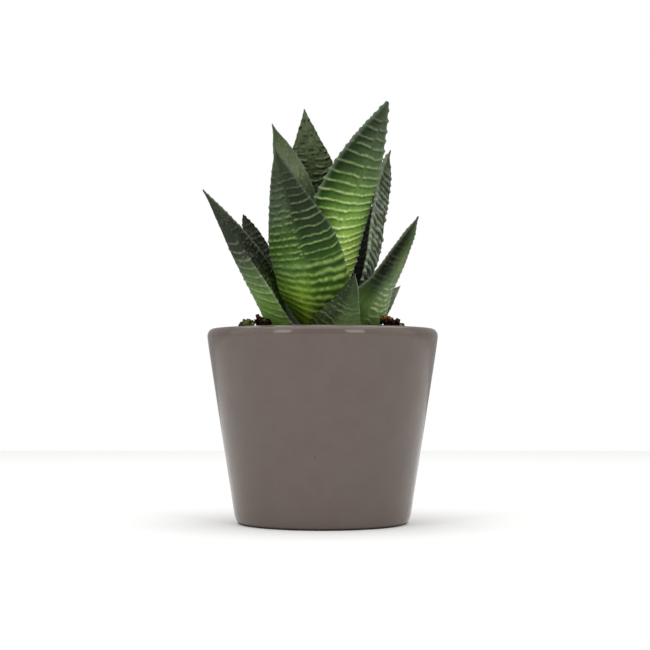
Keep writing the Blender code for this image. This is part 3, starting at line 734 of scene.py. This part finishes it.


# Glazed stoneware, dipped and fired: smooth glass over clay, so a soft gloss with a slight ripple,
# a little lighter where the glaze runs thin on the rim, a few iron specks, and bare clay at the foot,
# painted dark enough to stand also for the shade under the foot.
def potGlaze():
    material, tree = newMaterial("stoneware_taupe_glaze")
    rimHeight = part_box("pot")[1].z / mm
    lipLow, lipHigh = (rimHeight - down for down in potPlan["lipFrom"])
    bareNone, bareFull = potPlan["bareFoot"]
    height = addNode(tree, "Attribute", {"attribute_name": "potHeight"}, output="Fac")
    placeMm = placeInMm(tree)
    mottle = addNode(tree, "TexNoise", {"Scale": 1 / potPlan["mottleSize"], "Detail": 4.0, "Roughness": 0.6},
                     {"Vector": placeMm})
    mottleShare = addNode(tree, "MapRange", {"From Min": 0.35, "From Max": 0.65}, {"Value": mottle})
    colour = addNode(tree, "Mix", {"data_type": "RGBA", "A": potPlan["body"], "B": potPlan["shade"]},
                     {"Factor": mottleShare})
    thin = addNode(tree, "MapRange", {"From Min": rimHeight - potPlan["thinFrom"], "From Max": rimHeight,
                                      "To Max": 0.8}, {"Value": height})
    colour = addNode(tree, "Mix", {"data_type": "RGBA", "B": potPlan["rim"]}, {"Factor": thin, "A": colour})
    cells = addNode(tree, "TexVoronoi", {"Scale": 1 / potPlan["speckSize"]}, {"Vector": placeMm}, "Distance")
    specks = addNode(tree, "MapRange", {"From Min": 0.035, "From Max": 0.02, "To Max": 0.6}, {"Value": cells})
    colour = addNode(tree, "Mix", {"data_type": "RGBA", "B": potPlan["speck"]},
                     {"Factor": specks, "A": colour})
    # bare clay at the foot, its dark colour also standing for painted shade under the foot
    bareFootAndShade = addNode(tree, "MapRange", {"From Min": bareNone, "From Max": bareFull}, {"Value": height})
    colour = addNode(tree, "Mix", {"data_type": "RGBA", "B": potPlan["footClayAndShade"]}, {"Factor": bareFootAndShade, "A": colour})
    rough = addNode(tree, "MapRange", {"From Min": 0.3, "From Max": 0.7, "To Min": potPlan["rough"] - 0.05,
                                       "To Max": potPlan["rough"] + 0.05}, {"Value": mottle})
    lip = addNode(tree, "MapRange", {"From Min": lipLow, "From Max": lipHigh, "To Max": potPlan["lipRough"]},
                  {"Value": height, "To Min": rough})
    rough = addNode(tree, "MapRange", {"From Min": 0.0, "From Max": 1.0, "To Max": potPlan["clayRough"]},
                    {"Value": bareFootAndShade, "To Min": lip})
    ripple = addNode(tree, "TexNoise", {"Scale": potPlan["ripplesPerMm"], "Detail": 2.0}, {"Vector": placeMm})
    bump = addNode(tree, "Bump", {"Strength": 0.25, "Distance": 0.1 * mm}, {"Height": ripple})
    finishMaterial(tree, {"IOR": 1.5, "Specular IOR Level": 0.33},
                   {"Base Color": colour, "Roughness": rough, "Normal": bump})
    return material


buildPot()
print("pot built")


# Compost: a fine lumpy surface over the packed soil, with loose grains lying on it

# sizes in mm; lumps are the size and height of each layer of unevenness on the surface
soilPlan = dict(step=0.55, segments=256, stemHole=5.9, potGap=0.2,
                lumps=((2.6, 0.35), (1.1, 0.25), (0.6, 0.16)),
                sink=0.25, rimSink=0.3, rimWidth=1.2, wallDepth=6, holeDepth=8,
                grains=520, grainSize=(0.5, 1.7), plainGrain=0.9, grainRing=(6.5, 1.5), grainLift=0.12,
                seed=11,
                stops=[(0.0, "140d08"), (0.45, "3a2415"), (0.8, "4c2c17"), (1.0, "6f5434")])


# Composted bark and peat, sieved: dull, crumbly, near black in places and darker towards a crumb's
# underside, with red-brown bark bits.
def compost(name, seed, stops, bitsPerMm):
    material, tree = newMaterial(name)
    dry = addNode(tree, "Attribute", {"attribute_name": "dry"}, output="Fac")
    placeMm = placeInMm(tree)
    placeMm = addNode(tree, "VectorMath", {"operation": "ADD", 1: (seed, seed, seed)}, {0: placeMm})
    bits = addNode(tree, "TexVoronoi", {"Scale": bitsPerMm, "Randomness": 1.0}, {"Vector": placeMm}, "Color")
    pick = addNode(tree, "SeparateColor", None, {"Color": bits}, "Red")
    colour = addNode(tree, "ValToRGB", {"stops": stops}, {"Fac": pick})
    # fibres about 0.5 mm across
    fibres = addNode(tree, "TexNoise", {"Scale": 2.2, "Detail": 4.0, "Roughness": 0.7}, {"Vector": placeMm})
    level = addNode(tree, "MapRange", {"From Min": 0.3, "From Max": 0.7, "To Min": 0.4, "To Max": 1.5},
                    {"Value": fibres})
    level = addNode(tree, "Math", {"operation": "MULTIPLY"}, {0: level, 1: dry})
    colour = addNode(tree, "VectorMath", {"operation": "SCALE"}, {0: colour, "Scale": level})
    bump = addNode(tree, "Bump", {"Strength": 0.8, "Distance": 0.3 * mm}, {"Height": fibres})
    rough = addNode(tree, "MapRange", {"From Min": 0.3, "From Max": 0.7, "To Min": 0.8, "To Max": 0.98},
                    {"Value": fibres})
    finishMaterial(tree, {"IOR": 1.4, "Specular IOR Level": 0.15},
                   {"Base Color": colour, "Roughness": rough, "Normal": bump})
    return material


# points and faces of a rough lump about one unit across
def lumpShape(random, detail, roughness):
    work = bmesh.new()
    bmesh.ops.create_icosphere(work, subdivisions=detail, radius=0.5)
    points = np.array([vertex.co[:] for vertex in work.verts])
    faces = np.array([[vertex.index for vertex in face.verts] for face in work.faces])
    work.free()
    push = np.ones(len(points))
    for size in (0.9, 0.45, 0.25):
        shift = random.uniform(0, 40, 3)
        seed = int(random.integers(1e6))
        x, y, z = points.T
        first = cloud(x + shift[0], y + 2 * z + shift[1], size, seed)
        second = cloud(z + shift[2], x - y + shift[1], size, seed + 1)
        push += roughness * size * (first + second)
    return points * push[:, None], faces


def turnedBy(random):
    a, b, c = random.uniform(0, fullTurn, 3)
    aboutX = np.array([[1, 0, 0], [0, math.cos(a), -math.sin(a)], [0, math.sin(a), math.cos(a)]])
    aboutY = np.array([[math.cos(b), 0, math.sin(b)], [0, 1, 0], [-math.sin(b), 0, math.cos(b)]])
    aboutZ = np.array([[math.cos(c), -math.sin(c), 0], [math.sin(c), math.cos(c), 0], [0, 0, 1]])
    return aboutX @ aboutY @ aboutZ


# one ring of points round the middle
def soilRing(radius, angle, height):
    return np.stack([radius * np.cos(angle), radius * np.sin(angle), 0 * angle + height], axis=1)


def buildSoil():
    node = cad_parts["soil"]
    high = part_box("soil")[1]
    hole, outer = soilPlan["stemHole"] * mm, high.x - soilPlan["potGap"] * mm
    rings, count = int(outer / (soilPlan["step"] * mm)), soilPlan["segments"]
    random = np.random.default_rng(soilPlan["seed"])
    angle = np.linspace(0, fullTurn, count, endpoint=False)
    radius = np.linspace(hole, outer, rings)[:, None]
    x, y = radius * np.cos(angle), radius * np.sin(angle)
    z = np.zeros_like(x)
    for row in range(rings):
        for column in range(count):
            hit, spot, _, _ = node.ray_cast(Vector((x[row, column], y[row, column], 0.1)), Vector((0, 0, -1)))
            z[row, column] = spot.z if hit else z[row - 1, column]
    lumps = sum(height * cloud(x / mm, y / mm, size, layer + 1)
                for layer, (size, height) in enumerate(soilPlan["lumps"])) * mm
    z = z + lumps - soilPlan["sink"] * mm
    inside = np.clip((outer - radius) / (soilPlan["rimWidth"] * mm), 0, 1)
    z = z - soilPlan["rimSink"] * mm * (1 - inside)
    wall = soilRing(outer, angle, high.z - soilPlan["wallDepth"] * mm)
    core = soilRing(hole, angle, high.z - soilPlan["holeDepth"] * mm)
    points = np.concatenate([core[None], np.stack([x, y, z], axis=2), wall[None]])
    faces = tubeFaces(len(points), count)[:, [0, 3, 2, 1]].tolist()     # turned to face up
    allPoints, start = [points.reshape(-1, 3)], points.shape[0] * count
    nearest, fromWall = (part * mm for part in soilPlan["grainRing"])
    for _ in range(soilPlan["grains"]):
        spot = random.uniform(nearest, outer - fromWall)
        turn = random.uniform(0, fullTurn)
        size = random.uniform(*soilPlan["grainSize"]) * mm
        shape, shapeFaces = lumpShape(random, 1 if size < soilPlan["plainGrain"] * mm else 2, 0.5)
        shape = shape * size * random.uniform(0.5, 1.1, 3) @ turnedBy(random)
        row = int(np.clip((spot - hole) / (outer - hole) * (rings - 1), 0, rings - 1))
        column = int(turn / fullTurn * count) % count
        height = z[row, column] + soilPlan["grainLift"] * size
        allPoints.append(shape + np.array([spot * math.cos(turn), spot * math.sin(turn), height]))
        faces += (shapeFaces + start).tolist()
        start += len(shape)
    allPoints = np.concatenate(allPoints)
    skin = compost("sieved_bark_compost", 3.0, soilPlan["stops"], 0.9)
    piece = newPiece("soil_compost", allPoints.tolist(), faces, skin, {"dry": np.ones(len(allPoints))})
    takePlace(piece, "soil")
    print("compost built,", len(faces), "faces")


# A crumb: how many bits it has, their size and the core's as shares of the crumb, the tone of its
# underside, as each crumb darkens towards the bottom, and the colours that its bits take
darkBits = dict(bits=70, bitSize=(0.16, 0.36), core=0.55, undersideTone=0.35,
                stops=[(0.0, "0c0805"), (0.4, "1c100a"), (0.65, "3a2116"), (0.85, "5a3a26"), (1.0, "6a5a3a")])
crumbPlans = {
    "bark_left_1": dict(bits=90, bitSize=(0.12, 0.28), core=0.5, undersideTone=0.7,
                        stops=[(0.0, "3a421c"), (0.35, "5f6c30"), (0.6, "7e8c48"), (0.8, "2c2c14"),
                               (1.0, "a3ad72")]),
    "bark_right_1": dict(bits=80, bitSize=(0.14, 0.3), core=0.55, undersideTone=0.06,
                         stops=[(0.0, "1e1008"), (0.3, "442814"), (0.6, "6e4422"), (0.85, "946434"),
                                (1.0, "b48c54")]),
    "bark_right_3": dict(bits=60, bitSize=(0.14, 0.3), core=0.4, undersideTone=0.6,
                         stops=[(0.0, "5a4020"), (0.5, "8a6a3a"), (1.0, "b8a070")])}


def buildCrumb(node, seed):
    plan = crumbPlans.get(node, darkBits)
    low, high = (np.array(corner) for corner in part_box(node))
    random = np.random.default_rng(seed)
    allPoints, faces, start = [], [], 0
    middle, size = (low + high) / 2, high - low
    for number in range(plan["bits"]):
        core = number == 0
        shape, shapeFaces = lumpShape(random, 3 if core else 1, 0.75)
        scale = plan["core"] if core else random.uniform(*plan["bitSize"]) * random.uniform(0.4, 1.2, 3)
        shape = shape * scale @ turnedBy(random) * (size if core else size.mean())
        if not core:
            way = random.normal(0, 1, 3)
            shape = shape + way / np.linalg.norm(way) * size * random.uniform(0.2, 0.44)
        allPoints.append(np.clip(shape + middle, low, high))
        faces += (shapeFaces + start).tolist()
        start += len(shape)
    allPoints = np.concatenate(allPoints)
    # darker towards the bottom of the crumb, a little lighter than its colour at the top
    dry = plan["undersideTone"] + (1.15 - plan["undersideTone"]) * softStep(0.45, 0.9, (allPoints[:, 2] - low[2]) / size[2])
    piece = newPiece(node + "_chip", allPoints.tolist(), faces,
                     compost("bark_chip_" + node[5:], 7.0 * seed, plan["stops"], 1.8), {"dry": dry})
    takePlace(piece, node)


buildSoil()
for seed, node in enumerate(sorted(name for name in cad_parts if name.startswith("bark_"))):
    buildCrumb(node, seed + 1)
print("bark built")


# Stem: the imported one, in its own skin

# Old stem tissue, grown and dried: matt olive-brown with fine scars running round it.
def stemSkin():
    material, tree = newMaterial("dry_stem_skin")
    placeMm = placeInMm(tree)
    rings = addNode(tree, "VectorMath", {"operation": "MULTIPLY", 1: (0.3, 0.3, 2.0)}, {0: placeMm})
    scars = addNode(tree, "TexNoise", {"Scale": 0.8, "Detail": 3.0}, {"Vector": rings})
    stops = [(0.3, "3b3a1e"), (0.55, "5d6131"), (0.8, "7f8a4a")]
    colour = addNode(tree, "ValToRGB", {"stops": stops}, {"Fac": scars})
    bump = addNode(tree, "Bump", {"Strength": 0.6, "Distance": 0.3 * mm}, {"Height": scars})
    rough = addNode(tree, "MapRange", {"To Min": 0.6, "To Max": 0.8}, {"Value": scars})
    finishMaterial(tree, {"IOR": 1.4}, {"Base Color": colour, "Roughness": rough, "Normal": bump})
    return material


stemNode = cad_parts["stem"]
stemNode.data.materials.clear()
stemNode.data.materials.append(stemSkin())


# Floor, light and camera

# Places and sizes are in metres, powers in watts and the tilt in degrees. The camera's place counts
# from the origin, and a softbox's from the middle of the object.
stagePlan = dict(floorSize=1.0, floorColour="f9f9f7", worldLight=0.4,
                 cameraPlace=(0.00072, -0.46, 0.04181), cameraTilt=2.263, lens=83.72)
softboxes = {
    "softbox_left": dict(place=(-0.55, -0.10, 0.22), size=(0.5, 0.6), power=0.6),
    "softbox_right": dict(place=(0.55, -0.10, 0.22), size=(0.5, 0.6), power=0.6),
    "softbox_top": dict(place=(0.0, 0.1, 0.9), size=(1.4, 1.4), power=9.0),
    "softbox_front_left": dict(place=(-0.58, -0.69, 0.3), size=(0.28, 0.5), power=2.0),
    "softbox_front_right": dict(place=(0.49, -0.76, 0.3), size=(0.28, 0.5), power=2.0)}


def addLight(name, target):
    plan = softboxes[name]
    light = bpy.data.lights.new(name, "AREA")
    light.shape = "RECTANGLE"
    light.size, light.size_y = plan["size"]
    light.energy = plan["power"]
    lamp = bpy.data.objects.new(name, light)
    bpy.context.scene.collection.objects.link(lamp)
    lamp.location = target + Vector(plan["place"])
    lamp.rotation_euler = (target - lamp.location).to_track_quat("-Z", "Y").to_euler()


# Seen by the camera the world is plain white. It lights the plant less, so that the lamps shape it.
def buildWorld():
    world = bpy.data.worlds.new("white_studio")
    bpy.context.scene.world = world
    world.use_nodes = True
    tree = world.node_tree
    tree.nodes.clear()
    seen = addNode(tree, "LightPath", output="Is Camera Ray")
    strength = addNode(tree, "MapRange", {"To Min": stagePlan["worldLight"], "To Max": 1.0}, {"Value": seen})
    shine = addNode(tree, "Background", {"Color": "ffffff"}, {"Strength": strength})
    addNode(tree, "OutputWorld", None, {"Surface": shine})


# Matt white paper, a pressed sheet of pale fibre: no gloss, only a soft shadow under the pot.
def buildFloor():
    half = stagePlan["floorSize"] / 2
    paper, tree = newMaterial("matt_white_paper")
    place = addNode(tree, "TexCoord", output="Object")
    # fibres about 1 mm across, coarser than real ones, which wouldn't show
    fibre = addNode(tree, "TexNoise", {"Scale": 900.0, "Detail": 2.0}, {"Vector": place})
    bump = addNode(tree, "Bump", {"Strength": 0.05, "Distance": 0.05 * mm}, {"Height": fibre})
    finishMaterial(tree, {"Base Color": stagePlan["floorColour"], "Roughness": 0.9}, {"Normal": bump})
    floor = newPiece("floor", [(-half, -half, 0), (half, -half, 0), (half, half, 0), (-half, half, 0)],
                     [(0, 1, 2, 3)], paper)


def placeCamera():
    camera = bpy.data.cameras.new("camera")
    camera.lens = stagePlan["lens"]
    holder = bpy.data.objects.new("camera", camera)
    bpy.context.scene.collection.objects.link(holder)
    holder.location = stagePlan["cameraPlace"]
    holder.rotation_euler = (math.radians(90 + stagePlan["cameraTilt"]), 0, 0)
    camera.clip_start, camera.clip_end = 0.01, 20.0
    bpy.context.scene.camera = holder


buildFloor()
for name in softboxes:
    addLight(name, (cadLow + cadHigh) / 2)
buildWorld()
placeCamera()
bpy.context.scene.view_settings.view_transform = "Standard"
print("stage set")
